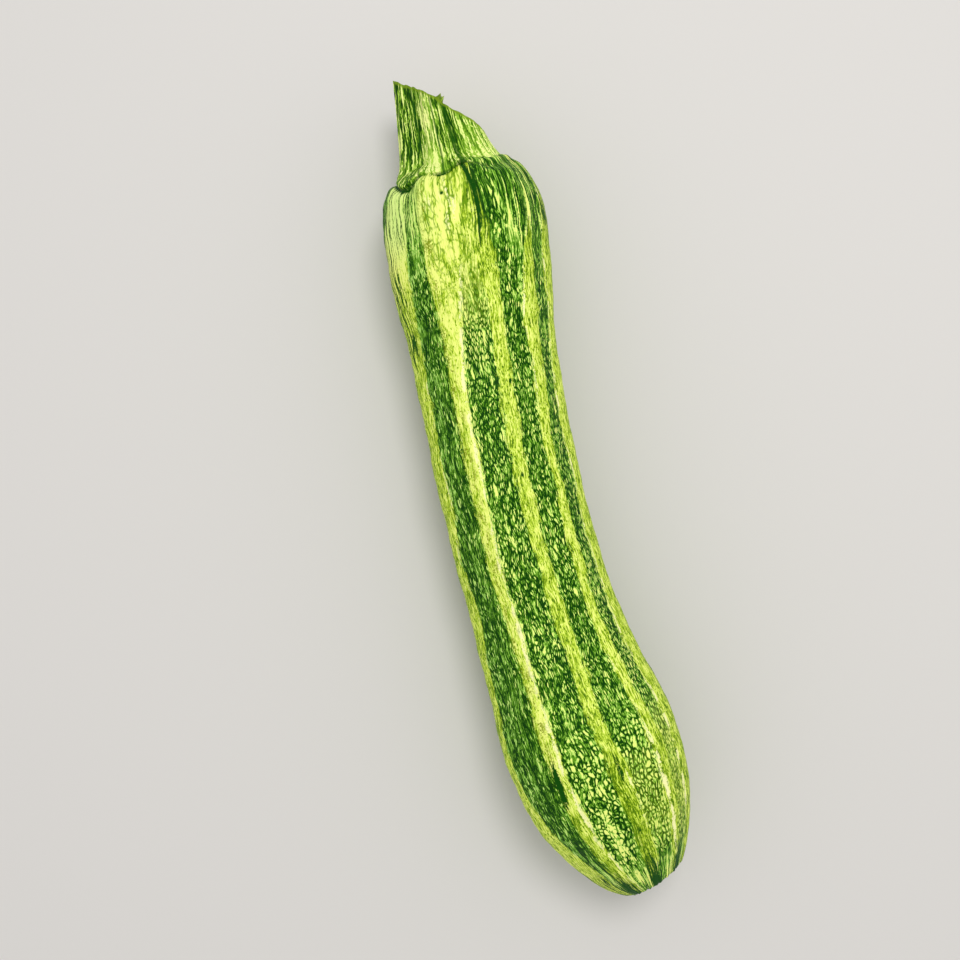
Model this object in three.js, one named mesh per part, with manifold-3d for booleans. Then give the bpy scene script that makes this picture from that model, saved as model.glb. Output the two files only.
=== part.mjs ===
// Zucchini lying on its side: one long, bent, low-ribbed fruit and the cut stub of its stem.
//
// Millimetres, +Z up. The fruit lies along Y with the stem towards +Y, and rests on Z = 0.
// Both pieces are turned profiles (lathes about Y) whose sections are then ribbed and moved
// onto a bent axis. The stem's foot is cut to the shape of the fruit's shoulder below it.

import * as THREE from 'three';
import { mergeVertices } from 'three/addons/utils/BufferGeometryUtils.js';
import Module from 'manifold-3d';

const wasm = await Module();
wasm.setup();

const deg = THREE.MathUtils.degToRad;
const up = new THREE.Vector3(0, 0, 1);

// ---- Driving dimensions of the fruit ----

const stemPoleY = 116.5;
const blossomPoleY = -152.3;
const waistRadius = 25.6;
// A swell adds a smooth bump of this height and width, centred at a distance from the stem pole
const shoulderSwell = { height: 3.7, at: 28.4, width: 29.8 };
const bulbSwell = { height: 6.2, at: 224.5, width: 44 };
// An end closes over this length; a higher power makes it blunter
const stemEnd = { length: 22, power: 3 };
const blossomEnd = { length: 74, power: 2.29 };
// Sideways place of the axis, as a polynomial in y / 100
const axisBend = [-5.5, 8.7, 7.8, -1.0, -0.73];
// How deep the fruit's round underside is flattened where it lies, and how far its waist lifts
const bedDepth = 0.9;
const waistLift = { height: 2.4, at: 108, width: 36 };

// Low ribs run from end to end under the pale stripes; angles are about the axis, 0 is the top
const ribAngles = [-68, -27, 11, 44, 71, 107, 143, 180, 216, 252].map(deg);
const ribHeight = 0.9;
const ribHalfWidth = deg(11);
const ribMean = 0.55;

// The five-sided scar that the flower left, on a flat turned a little towards +X
const scarCentre = new THREE.Vector3(0.6, -146.9, 27.5);
const scarTurn = deg(15.4);
const scarRadius = 10.5;
const scarDepth = 0.9;

// ---- Driving dimensions of the stem ----

const stemFoot = new THREE.Vector3(8.7, 114.2, 27.6);
const stemTurn = deg(-4.6);
const stemLength = 42;
const stemFootRadius = 16.2;
const stemTaper = 0.133;
const footFlare = { height: 3.7, fade: 4.2 };
// Under the flare the foot turns in, inside the fruit's shoulder
const footUnder = { radius: 15, depth: 3.5 };
// Five ridges with a groove after each; the sections swell and sink by this share of the radius
const ridgeAngles = [-68, -9, 52, 127, 200].map(deg);
const grooveAngles = [-35, 16, 92, 163, 236].map(deg);
const ridgeShare = 0.085;
// The knife's cut: one upright plane, slanting back towards +X
const cutPoint = new THREE.Vector3(10.6, 138.7, 28);
const cutTurn = deg(-47);

const clearance = 0.3;

// ---- Fineness of the faces ----

const fruitRings = 50;
const fruitSegments = 60;
const stemRings = 14;
const stemSegments = 45;

// ---- Solids ----

function solidFrom(geometry) {
  const shape = geometry.clone();
  shape.deleteAttribute('normal');
  shape.deleteAttribute('uv');
  const merged = mergeVertices(shape, 1e-4);
  const vertProperties = new Float32Array(merged.attributes.position.array);
  const triVerts = new Uint32Array(merged.index.array);
  return new wasm.Manifold(new wasm.Mesh({ numProp: 3, vertProperties, triVerts }));
}

function geometryFrom(solid) {
  const mesh = solid.getMesh();
  const geometry = new THREE.BufferGeometry();
  geometry.setAttribute('position', new THREE.BufferAttribute(mesh.vertProperties, 3));
  geometry.setIndex(new THREE.BufferAttribute(mesh.triVerts, 1));
  geometry.computeVertexNormals();
  return geometry;
}

// Moves every vertex of a lathe about Y: place(angle, y, radius) gives its new position
function reshape(lathe, place) {
  const position = lathe.attributes.position;
  for (let i = 0; i < position.count; i += 1) {
    const x = position.getX(i);
    const z = position.getZ(i);
    const placed = place(Math.atan2(x, z), position.getY(i), Math.hypot(x, z));
    position.setXYZ(i, placed.x, placed.y, placed.z);
  }
  return lathe;
}

// The same closed surface, moved out along its normals
function grown(geometry, distance) {
  const shape = geometry.clone();
  shape.deleteAttribute('normal');
  shape.deleteAttribute('uv');
  const merged = mergeVertices(shape, 1e-4);
  merged.computeVertexNormals();
  const { position, normal } = merged.attributes;
  for (let i = 0; i < position.count; i += 1) {
    const x = position.getX(i) + normal.getX(i) * distance;
    const y = position.getY(i) + normal.getY(i) * distance;
    const z = position.getZ(i) + normal.getZ(i) * distance;
    position.setXYZ(i, x, y, z);
  }
  return merged;
}

// ---- Fruit ----

function swell(distance, { height, at, width }) {
  return height * Math.exp(-(((distance - at) / width) ** 2));
}

// 0 at the pole of a rounded end, rising to 1 where the end has reached its full width
function endRounding(fromPole, { length, power }) {
  const left = THREE.MathUtils.clamp(1 - fromPole / length, 0, 1);
  return (1 - left ** power) ** (1 / power);
}

function bodyRadius(y) {
  const fromStem = stemPoleY - y;
  return waistRadius + swell(fromStem, shoulderSwell) + swell(fromStem, bulbSwell);
}

function bothEnds(y) {
  return endRounding(stemPoleY - y, stemEnd) * endRounding(y - blossomPoleY, blossomEnd);
}

function axisPoint(y) {
  const t = y / 100;
  const x = axisBend.reduceRight((sum, factor) => sum * t + factor, 0);
  const z = bodyRadius(y) - bedDepth + swell(stemPoleY - y, waistLift);
  return new THREE.Vector3(x, y, z);
}

// Horizontal direction square to the axis, towards +X
function axisSide(y) {
  const step = 0.01;
  const along = axisPoint(y + step).sub(axisPoint(y - step)).setZ(0).normalize();
  return along.cross(up);
}

function ribbing(angle, y) {
  let height = -ribMean * ribHeight;
  for (const rib of ribAngles) {
    const turn = Math.atan2(Math.sin(angle - rib), Math.cos(angle - rib));
    height += ribHeight * Math.exp(-((turn / ribHalfWidth) ** 2));
  }
  return height * bothEnds(y);
}

function placeOnFruit(angle, y, radius) {
  const ribbed = radius > 0 ? radius + ribbing(angle, y) : 0;
  const point = axisPoint(y);
  point.addScaledVector(axisSide(y), ribbed * Math.sin(angle));
  point.addScaledVector(up, ribbed * Math.cos(angle));
  return point;
}

// Stations lie closer together towards the two ends, where the profile turns in
function fruitProfile() {
  const length = stemPoleY - blossomPoleY;
  const points = [];
  for (let i = 0; i <= fruitRings; i += 1) {
    const share = (1 - Math.cos((Math.PI * i) / fruitRings)) / 2;
    const y = blossomPoleY + length * share;
    points.push(new THREE.Vector2(bodyRadius(y) * bothEnds(y), y));
  }
  points[0].x = 0;
  points[fruitRings].x = 0;
  return points;
}

// A block whose near face lies in the plane through a point, square to a turned Y axis
function blockBeyond(point, turn, size) {
  const block = new THREE.BoxGeometry(size, size, size);
  block.translate(0, size / 2, 0);
  block.rotateZ(turn);
  block.translate(point.x, point.y, point.z);
  return block;
}

function groundBlock() {
  const size = 400;
  const block = new THREE.BoxGeometry(size, size, size);
  block.translate(0, 0, -size / 2);
  return block;
}

// A five-sided cutter, one corner up, that reaches scarDepth into the blossom end
function scarCutter() {
  const reach = 20;
  const cutter = new THREE.CylinderGeometry(scarRadius * 1.1, scarRadius, reach, 5);
  cutter.translate(0, -reach / 2 + scarDepth, 0);
  cutter.rotateZ(scarTurn);
  cutter.translate(scarCentre.x, scarCentre.y, scarCentre.z);
  return cutter;
}

const fruitSurface = reshape(new THREE.LatheGeometry(fruitProfile(), fruitSegments), placeOnFruit);
const fruitSolid = solidFrom(fruitSurface)
  .subtract(solidFrom(scarCutter()))
  .subtract(solidFrom(groundBlock()));

// ---- Stem ----

// +1 on a ridge, -1 in a groove, with a smooth slope from each to the next
function ridgeWave(angle) {
  const full = 2 * Math.PI;
  const wrap = (value) => ((value % full) + full) % full;
  const marks = [
    ...ridgeAngles.map((at) => ({ at: wrap(at), level: 1 })),
    ...grooveAngles.map((at) => ({ at: wrap(at), level: -1 })),
  ].sort((a, b) => a.at - b.at);
  const here = wrap(angle);
  const next = marks.find((mark) => mark.at > here) ?? marks[0];
  const last = marks.findLast((mark) => mark.at <= here) ?? marks[marks.length - 1];
  const share = wrap(here - last.at) / wrap(next.at - last.at);
  return THREE.MathUtils.lerp(last.level, next.level, (1 - Math.cos(Math.PI * share)) / 2);
}

function stemRadius(height) {
  return stemFootRadius - stemTaper * height + footFlare.height * Math.exp(-height / footFlare.fade);
}

// From the middle of the foot out under the flare, up the side and across the far end
function stemProfile() {
  const { radius, depth } = footUnder;
  const points = [new THREE.Vector2(0, -depth), new THREE.Vector2(radius, -depth)];
  for (let i = 0; i <= stemRings; i += 1) {
    const height = stemLength * (i / stemRings) ** 1.6;
    points.push(new THREE.Vector2(stemRadius(height), height));
  }
  points.push(new THREE.Vector2(0, stemLength));
  return points;
}

function placeOnStem(angle, y, radius) {
  const ridged = radius * (1 + ridgeShare * ridgeWave(angle));
  return new THREE.Vector3(ridged * Math.sin(angle), y, ridged * Math.cos(angle));
}

const stemSurface = reshape(new THREE.LatheGeometry(stemProfile(), stemSegments), placeOnStem);
stemSurface.rotateZ(stemTurn);
stemSurface.translate(stemFoot.x, stemFoot.y, stemFoot.z);

const stemSolid = solidFrom(stemSurface)
  .subtract(solidFrom(blockBeyond(cutPoint, cutTurn, 100)))
  .subtract(solidFrom(grown(fruitSurface, clearance)));

// ---- Meshes ----

const fruitSkin = new THREE.MeshStandardMaterial({ color: 0x7fa63a, roughness: 0.45, metalness: 0 });
const stemSkin = new THREE.MeshStandardMaterial({ color: 0x8fb04a, roughness: 0.65, metalness: 0 });

const fruit = new THREE.Mesh(geometryFrom(fruitSolid), fruitSkin);
fruit.name = 'fruit';

const stem = new THREE.Mesh(geometryFrom(stemSolid), stemSkin);
stem.name = 'stem';

const group = new THREE.Group();
group.add(fruit, stem);

export default group;
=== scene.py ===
"""A zucchini on a plain floor: the striped fruit and the cut stub of its stem.

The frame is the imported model's: +Y along the fruit towards its stem, +Z up, and the fruit lies on Z = 0.
Angles about the fruit and its stem are degrees from the top, + towards +X. Shapes and patterns are worked
out in mm; the settings, the finished meshes and the stage are in metres.
"""

import math
from functools import partial

import bpy
import numpy as np
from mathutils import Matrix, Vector


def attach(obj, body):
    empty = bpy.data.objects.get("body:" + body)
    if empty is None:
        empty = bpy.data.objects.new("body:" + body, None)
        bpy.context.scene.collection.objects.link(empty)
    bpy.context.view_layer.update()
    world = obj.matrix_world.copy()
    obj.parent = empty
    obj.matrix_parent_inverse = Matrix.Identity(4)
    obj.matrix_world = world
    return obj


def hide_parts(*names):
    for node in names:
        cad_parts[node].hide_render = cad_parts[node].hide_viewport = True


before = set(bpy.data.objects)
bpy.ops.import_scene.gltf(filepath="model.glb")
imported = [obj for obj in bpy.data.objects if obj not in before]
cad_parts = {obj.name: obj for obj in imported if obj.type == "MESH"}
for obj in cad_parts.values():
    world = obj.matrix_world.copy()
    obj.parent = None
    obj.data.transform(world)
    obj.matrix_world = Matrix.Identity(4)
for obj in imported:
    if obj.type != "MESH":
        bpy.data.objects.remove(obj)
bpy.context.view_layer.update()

bl_info = {
    "name": "Zucchini",
    "version": (1, 0, 0),
    "blender": (4, 5, 0),
    "location": "3D View > Sidebar > Zucchini",
    "description": "Builds a striped zucchini, its stem and a plain stage around it",
    "category": "Object",
}

MM = 0.001
BODY = "root"

# ---- The shape that the fruit and its stem share with the solid model ----

STEM_POLE = 116.5
BLOSSOM_POLE = -152.3
SHOULDER_SWELL = (3.7, 28.4, 29.8)  # height, place from the stem pole, width
BULB_SWELL = (6.2, 224.5, 44.0)
STEM_END = (22.0, 3.0)  # length over which the end closes, and how blunt it is
BLOSSOM_END = (74.0, 2.29)
AXIS_BEND = (-5.5, 8.7, 7.8, -1.0, -0.73)  # in powers of y / 100
BED_DEPTH = 0.9
WAIST_LIFT = (2.4, 108.0, 36.0)
RIB_ANGLES = (-68, -27, 11, 44, 71, 107, 143, 180, 216, 252)
RIB_HALF_WIDTH = 11.0
RIB_MEAN = 0.55

SCAR_CENTRE = np.array([0.6, -146.9, 27.5])
SCAR_TURN = 15.4
SCAR_RADIUS = 10.5
SCAR_DEPTH = 0.9

STEM_FOOT = np.array([8.7, 114.2, 27.6])
STEM_TURN = -4.6
FOOT_FADE = 4.2
RIDGE_ANGLES = (-68, -9, 52, 127, 200)
GROOVE_ANGLES = (-35, 16, 92, 163, 236)
CUT_POINT = np.array([10.6, 138.7, 28.0])
CUT_TURN = -47.0

# ---- Forms and marks that are finer than the solid model ----

FRUIT_AROUND = 360
FRUIT_ALONG = 270
FRUIT_PATTERN_RADIUS = 28.0
STEM_AROUND = 360
STEM_ALONG = 120
STEM_PATTERN_RADIUS = 15.0
CUT_RINGS = 34

# Soft oval spots. Each: angle and half width in degrees, place and half length along the fruit, strength.
# Swellings of the skin, their strength in mm:
SWELLINGS = (
    (-90, 45, 85, 40, 0.6), (-90, 45, -15, 70, 0.4), (90, 40, 30, 30, 0.4), (90, 45, -88, 24, 0.8),
    (70, 26, 104, 5, -0.6),
)
# A dark smear, and five small specks:
DARK_SPOTS = (
    (12, 1.6, -100, 6, 0.8), (15.2, 1.2, 10.2, 0.7, 1.3), (16.5, 1.2, 35.8, 0.7, 1.3),
    (11.5, 1.2, 3.5, 0.7, 1.3), (-12.2, 1.2, 100.5, 0.7, 1.3), (19, 1.2, 95, 0.7, 1.3),
)
CREAM_SPOTS = (
    (-9, 7, 97, 11, 0.6), (-23, 4, 99, 8, 0.5), (-7, 5, -124, 24, 1.1), (40.5, 2.2, -120, 16, 1.2),
)
PALE_SPOTS = ((43, 5, -121, 9, 0.3),)

# Broken cream lines along edges of the upper bands: band, side, offset in degrees, strength, and where each
# begins and ends along the fruit
CREAM_LINES = (
    (0, 0, -2.5, 0.42, -60, 90), (1, 0, -1.8, 1.5, -150, 74), (2, 0, -1.6, 0.6, -150, -96),
    (2, 1, 1.2, 0.8, 24, 96), (2, 1, 1.2, 0.8, -112, -64), (3, 1, 1.4, 0.9, -130, 104),
)
# The bold furrow from the stem's main groove down the shoulder: place, angle, half width in degrees
FURROW = (
    (74, 9.5, 0.5), (80, 9.0, 0.5), (86, 9.0, 0.6), (92, 10.5, 0.9), (97, 10.5, 1.2), (102, 9.2, 1.5),
    (106, 7.8, 1.9), (110, 5.5, 2.4), (113, 3.5, 3.0),
)
# The cream line beside that furrow: place, angle
FURROW_CREAM = ((82, 20), (90, 17.5), (100, 15), (110, 12))
# How deep the crease round the stem's foot is, and how dark its painted shade is, from 0 to 1, at angles
# about the stem
CREASE = (
    (-120, 0.6), (-90, 0.8), (-60, 0.9), (-40, 1.0), (-30, 0.9), (-24, 0.35), (-16, 0.35), (-8, 0.9),
    (0, 0.7), (6, 0.5), (14, 0.9), (22, 0.6), (35, 0.5), (50, 0.35), (90, 0.6), (150, 0.6),
)
# Where the edge of the stem's foot lies: angle about the stem, and distance from its axis
FOOT_EDGE = (
    (-90, 18.4), (-68, 20.4), (-52, 23.6), (-42, 24.8), (-35, 24.4), (-29, 22.4), (-22, 23.2), (-9, 23.8),
    (0, 23.2), (6, 22.2), (13, 19.0), (20, 21.6), (30, 23.6), (42, 24.6), (56, 24.6), (75, 24.0), (92, 21.5),
    (127, 20.6), (163, 18.4), (200, 20.4), (236, 18.4),
)

# ---- The stripes: dark bands between pale ribs ----

# Stations along the fruit where the dark bands on its upper side are given
STATIONS = (-146, -136, -120, -100, -80, -60, -40, -20, 0, 20, 40, 60, 80, 92, 106)
# Each band at each station: its left and right edge in degrees, and how dark it is, 1 where it is full
UPPER_BANDS = (
    (
        (-34, -38, -50, -60, -62, -60, -55, -60, -53, -54, -53, -50, -46, -42, -40),
        (-28, -30, -31, -30, -31, -30, -32, -32, -32, -31, -29, -30, -31, -31, -31),
        (1.4, 1.2, 1.05, 1.0, 1.0, 1.0, 1.0, 1.05, 1.05, 1.05, 1.0, 0.9, 0.65, 0.4, 0.3),
    ),
    (
        (-12, -15, -18, -19, -19, -19, -19, -20, -17, -18, -16, -10, -4, -4, -4),
        (6, 4, 5, 5, 4, 5, 5, 5, 4, 5, 7, 8, 4, 2, 2),
        (1.3, 0.7, 0.64, 0.7, 0.85, 0.95, 0.95, 0.95, 0.95, 0.9, 0.75, 0.4, 0.05, 0.0, 0.0),
    ),
    (
        (12, 20, 19, 18, 15, 18, 17, 17, 18, 19, 20, 20, 19, 14, 11),
        (34, 36, 36, 38, 37, 33, 34, 34, 35, 34, 37, 34, 39, 47, 48),
        (1.2, 0.5, 0.32, 0.42, 0.7, 0.85, 0.9, 0.9, 0.9, 0.9, 0.9, 0.92, 0.8, 0.55, 0.5),
    ),
    (
        (44, 46, 47, 50, 47, 44, 43, 45, 45, 45, 50, 50, 49, 49, 49),
        (60, 60, 60, 60, 59, 56, 58, 57, 60, 57, 60, 63, 59, 62, 68),
        (1.2, 0.45, 0.2, 0.26, 0.52, 0.75, 0.9, 0.9, 0.9, 0.9, 0.9, 1.05, 1.1, 1.02, 0.9),
    ),
)
# The bands round the far side: middle and half width in degrees, and how much wider on the shoulder
LOWER_BANDS = ((89, 9, 2), (125, 10, 0), (162, 9, 0), (198, 9, 0), (234, 10, 0), (273, 9.5, 12))
LOWER_DARKNESS = 0.95
# How pale the skin between the bands is: angle, then its level at mid-length, shoulder and blossom end. The
# high shoulder levels at -80 and -60 degrees paint light and sheen on the -X shoulder over its own pale tone.
PALENESS = (
    (-180, 0.7, 0.6, 0.6), (-107, 0.65, 0.9, 0.7), (-80, 0.5, 1.6, 0.75), (-60, 0.6, 2.2, 0.75),
    (-42, 0.65, 1.0, 0.7), (-28, 1.0, 1.6, 0.4), (-21, 1.3, 1.3, 0.85), (-10, 1.0, 1.3, 0.6),
    (0, 0.6, 0.85, 0.5), (7, 0.62, 0.6, 0.05), (15, 0.8, 0.4, 0.45), (42, 0.8, 0.4, 0.4),
    (65, 0.66, 0.5, 0.5), (80, 0.5, 0.5, 0.4), (107, 0.6, 0.5, 0.5), (180, 0.7, 0.6, 0.6),
)
# How much of the shoulder's skin long dark lines take up: angle, and from 0 to 1
LINED = (
    (-180, 0.75), (-74, 0.8), (-60, 0.64), (-44, 0.92), (-34, 0.95), (-29, 0.6), (-20, 0.3), (0, 0.5),
    (9, 1.0), (14, 1.0), (20, 0.2), (28, 0.3), (36, 1.0), (44, 1.0), (180, 0.75),
)


def linear(hex_colour):
    """An sRGB hex colour as linear red, green, blue and alpha."""
    parts = [int(hex_colour[i : i + 2], 16) / 255 for i in (1, 3, 5)]
    return (*(p / 12.92 if p <= 0.04045 else ((p + 0.055) / 1.055) ** 2.4 for p in parts), 1.0)


# ---- Settings a user would change ----

LENGTH = {"unit": "LENGTH", "precision": 4}
COLOUR = {"size": 4, "subtype": "COLOR"}


class ZucchiniFruitSettings(bpy.types.PropertyGroup):
    """Sizes and skin colours of the fruit."""

    waist_radius: bpy.props.FloatProperty(
        name="Waist radius", default=25.6 * MM, **LENGTH,
        description="Radius of the fruit at its narrowest, between shoulder and bulb",
    )
    rib_height: bpy.props.FloatProperty(
        name="Rib height", default=0.9 * MM, **LENGTH,
        description="How far the low ribs stand above the skin between them",
    )
    dark_skin: bpy.props.FloatVectorProperty(
        name="Dark skin", default=linear("#0a3c00"), **COLOUR,
        description="Deep green of the veins and of the dark bands' ground",
    )
    green_skin: bpy.props.FloatVectorProperty(
        name="Green skin", default=linear("#518a12"), **COLOUR,
        description="Middle green of most cells in the dark bands",
    )
    fleck: bpy.props.FloatVectorProperty(
        name="Fleck", default=linear("#d6fa84"), **COLOUR,
        description="Palest flecks in the dark bands",
    )
    stripe: bpy.props.FloatVectorProperty(
        name="Stripe", default=linear("#bbd93a"), **COLOUR,
        description="Yellow green of the pale stripes on the ribs",
    )
    cream: bpy.props.FloatVectorProperty(
        name="Cream", default=linear("#f4fc84"), **COLOUR,
        description="Palest yellow, on the shoulder and along the stripes",
    )


class ZucchiniStemSettings(bpy.types.PropertyGroup):
    """Sizes and colours of the stem."""

    foot_radius: bpy.props.FloatProperty(
        name="Foot radius", default=16.2 * MM, **LENGTH,
        description="Radius of the stem at its foot, without the flare",
    )
    taper: bpy.props.FloatProperty(
        name="Taper", default=0.133,
        description="How much the radius shrinks for each unit of length",
    )
    ridge_share: bpy.props.FloatProperty(
        name="Ridge share", default=0.085, subtype="FACTOR",
        description="Height of the ridges and depth of the grooves, as a share of the radius",
    )
    skin: bpy.props.FloatVectorProperty(
        name="Skin", default=linear("#8dbb34"), **COLOUR,
        description="Green of the stem's skin",
    )
    groove: bpy.props.FloatVectorProperty(
        name="Groove", default=linear("#1f5a0c"), **COLOUR,
        description="Deep green in the grooves between the ridges",
    )
    flesh: bpy.props.FloatVectorProperty(
        name="Flesh", default=linear("#dfe7a8"), **COLOUR,
        description="Pale flesh of the cut face",
    )


class ZucchiniStageSettings(bpy.types.PropertyGroup):
    """The floor, the light and the camera."""

    floor: bpy.props.FloatVectorProperty(
        name="Floor", default=linear("#d9d6d2"), **COLOUR,
        description="Colour of the plain floor",
    )
    sky_light: bpy.props.FloatProperty(
        name="Sky light", default=0.72,
        description="Strength of the even light from all round",
    )
    lamp_power: bpy.props.FloatProperty(
        name="Lamp power", default=3.4, unit="POWER",
        description="Power of the soft lamp beside the stem end",
    )
    camera_height: bpy.props.FloatProperty(
        name="Camera height", default=468 * MM, **LENGTH,
        description="Height of the camera over the floor, looking straight down",
    )


# ---- Shape formulas, for numpy arrays ----


def hump(value, place, width):
    """A smooth hump of height 1."""
    return np.exp(-(((value - place) / width) ** 2))


def swell(distance, bump):
    """A smooth bump: (height, place, width)."""
    height, place, width = bump
    return height * hump(distance, place, width)


def smooth(value, low, high):
    """0 at low, 1 at high and beyond, and a smooth rise between. Either of the two may be the larger."""
    t = np.clip((value - low) / (high - low), 0, 1)
    return t * t * (3 - 2 * t)


def sine(angle):
    """The sine of an angle in degrees."""
    return np.sin(np.radians(angle))


def turn_between(angle, mark):
    """Signed angle from a mark to an angle, both in degrees, wrapped to -180..180."""
    return (angle - mark + 180) % 360 - 180


def wander(ys, seed, size=1.0):
    """A slow wandering of about +-size along the fruit, made of three waves."""
    waves = ((31, 0.55), (13, 0.3), (5.5, 0.2))
    total = 0
    for number, (length, share) in enumerate(waves):
        total = total + share * np.sin(2 * math.pi * ys / length + 2.4 * seed + 1.7 * number)
    return total * size


def spots(angles, ys, table):
    """The sum of a table of soft oval spots on the fruit."""
    total = 0
    for angle, half_width, place, half_length, strength in table:
        across = hump(turn_between(angles, angle), 0, half_width)
        total = total + strength * across * hump(ys, place, half_length)
    return total


def heading(turn):
    """Level unit vectors: along a direction turned from +Y by some degrees, and across it towards +X."""
    turn = math.radians(turn)
    return np.array([-math.sin(turn), math.cos(turn), 0]), np.array([math.cos(turn), math.sin(turn), 0])


def about_axis(points, centre, along, across):
    """Angle about a level axis in degrees, distance from it, and place along it from its centre."""
    offset = points - centre
    sideways = offset @ across
    upwards = offset[..., 2]
    return np.degrees(np.arctan2(sideways, upwards)), np.hypot(sideways, upwards), offset @ along


def end_rounding(from_pole, end):
    """0 at the pole of a rounded end, rising to 1 where the end has its full width."""
    length, power = end
    left = np.clip(1 - from_pole / length, 0, 1)
    return (1 - left**power) ** (1 / power)


def both_ends(ys):
    return end_rounding(STEM_POLE - ys, STEM_END) * end_rounding(ys - BLOSSOM_POLE, BLOSSOM_END)


def body_radius(ys, settings):
    """Radius of the fruit without its ribs and rounded ends."""
    from_stem = STEM_POLE - ys
    return settings.waist_radius / MM + swell(from_stem, SHOULDER_SWELL) + swell(from_stem, BULB_SWELL)


def axis_points(ys, settings):
    """The fruit's axis, and its horizontal side direction towards +X, at each y."""
    t = ys / 100
    x = sum(part * t**power for power, part in enumerate(AXIS_BEND))
    slope = sum(power * part * t ** (power - 1) for power, part in enumerate(AXIS_BEND) if power) / 100
    z = body_radius(ys, settings) - BED_DEPTH + swell(STEM_POLE - ys, WAIST_LIFT)
    side = np.stack([np.ones_like(slope), -slope, np.zeros_like(slope)], -1)
    side /= np.linalg.norm(side, axis=-1, keepdims=True)
    return np.stack([x, ys, z], -1), side


def unbent(angles, lengths, radius):
    """Points on a straight, even copy of a skin, for patterns that follow its length."""
    turn = np.radians(angles)
    return np.stack([radius * np.sin(turn), lengths, radius * np.cos(turn)], -1)


# ---- Meshes ----


def closed_skin(name, first, rings, last, attributes, pattern_radius):
    """A closed mesh: a point, rings of equally many points, and a point, with one value a point.

    Its map is the skin unrolled: once round across, first point to last point up. Its "flat" attribute is
    the same in mm, at a radius that is the same all along.
    """
    around = rings.shape[1]
    points = np.concatenate([first[None], rings.reshape(-1, 3), last[None]])
    end = len(points) - 1
    turns = [(a, (a + 1) % around) for a in range(around)]
    # How many points round each corner of each face lies
    faces = [(0, 1 + b, 1 + a) for a, b in turns]
    across = [spot for a in range(around) for spot in (a + 0.5, a + 1, a)]
    for low in range(1, end - around, around):
        high = low + around
        faces += [(low + a, low + b, high + b, high + a) for a, b in turns]
        across += [spot for a in range(around) for spot in (a, a + 1, a + 1, a)]
    faces += [(end, end - around + a, end - around + b) for a, b in turns]
    across += [spot for a in range(around) for spot in (a + 0.5, a, a + 1)]
    mesh = bpy.data.meshes.new(name)
    mesh.from_pydata((points * MM).tolist(), [], faces)

    corner = [point for face in faces for point in face]
    across = np.array(across) / around
    steps = zip([first, *rings], [*rings, last])
    along = np.cumsum([np.linalg.norm(far - near, axis=-1).mean() for near, far in steps])
    up = np.concatenate([[0], np.repeat(along[:-1], around), along[-1:]])[corner] / along[-1]
    margin = 0.004
    spread = 1 - 2 * margin
    places = np.stack([margin + spread * across / (1 + 1 / around), margin + spread * up], -1)
    layer = mesh.uv_layers.new(name="OFBake")
    layer.data.foreach_set("uv", places.astype(np.float32).ravel())
    lengths = attributes["straight"][..., 1].reshape(-1)
    lengths = np.concatenate([lengths[:1], lengths, lengths[-1:]])[corner]
    flat = np.stack([(across - 0.5) * 2 * math.pi * pattern_radius, lengths, np.zeros_like(lengths)], -1)
    layer = mesh.attributes.new("flat", "FLOAT_VECTOR", "CORNER")
    layer.data.foreach_set("vector", flat.astype(np.float32).ravel())
    for key, values in attributes.items():
        values = values.reshape(end - 1, -1)
        filled = np.concatenate([values[:around].mean(0)[None], values, values[-around:].mean(0)[None]])
        kind, part = ("FLOAT_VECTOR", "vector") if filled.shape[1] == 3 else ("FLOAT", "value")
        layer = mesh.attributes.new(key, kind, "POINT")
        layer.data.foreach_set(part, filled.astype(np.float32).ravel())
    mesh.shade_smooth()
    piece = bpy.data.objects.new(name, mesh)
    bpy.context.scene.collection.objects.link(piece)
    return piece


def finish_piece(piece, node, material):
    """Gives a piece its material and the body it rides on, and hides the CAD part that it stands for."""
    piece.data.materials.append(material)
    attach(piece, BODY)
    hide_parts(node)


# ---- The fruit ----


def fruit_radius(angles, ys, settings):
    """Distance from the fruit's axis to its skin."""
    ribs = sum(hump(turn_between(angles, rib), 0, RIB_HALF_WIDTH) for rib in RIB_ANGLES) - RIB_MEAN
    uneven = wander(ys, 1) * sine(angles * 2 + 40) + wander(ys, 3) * 0.6
    relief = settings.rib_height / MM * ribs + 0.35 * uneven + spots(angles, ys, SWELLINGS)
    return (body_radius(ys, settings) + relief) * both_ends(ys)


def fruit_stations(settings):
    """Stations evenly spread over the skin, closer together at the blossom scar and at the shoulder."""
    fine = np.linspace(0, math.pi, 6000)
    y = BLOSSOM_POLE + (STEM_POLE - BLOSSOM_POLE) * (1 - np.cos(fine)) / 2
    step = np.hypot(np.diff(y), np.diff(body_radius(y, settings) * both_ends(y)))
    closer = 1 + 1.4 * np.exp(-(y[1:] - BLOSSOM_POLE) / 10) + 1.3 * smooth(y[1:], 94, 106)
    covered = np.concatenate([[0], np.cumsum(step * closer)])
    return np.interp(np.linspace(0, covered[-1], FRUIT_ALONG + 2), covered, y)


def over_the_skin(points, settings):
    """How far points stand outside the fruit's skin."""
    # A few steps find the place on the bent axis that is nearest to each point
    y = points[..., 1].copy()
    for _ in range(4):
        middle, side = axis_points(y, settings)
        offset = points - middle
        y += side[..., 0] * offset[..., 1] - side[..., 1] * offset[..., 0]
    middle, side = axis_points(y, settings)
    offset = points - middle
    sideways = (offset * side).sum(-1)
    angles = np.degrees(np.arctan2(sideways, offset[..., 2]))
    return np.hypot(sideways, offset[..., 2]) - fruit_radius(angles, y, settings)


def past_the_foot(points):
    """Angle about the stem in degrees, and how far outside the edge of its foot each point lies."""
    angle, distance, _ = about_axis(points, STEM_FOOT, *heading(STEM_TURN))
    return angle, distance - foot_outline(angle)


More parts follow.
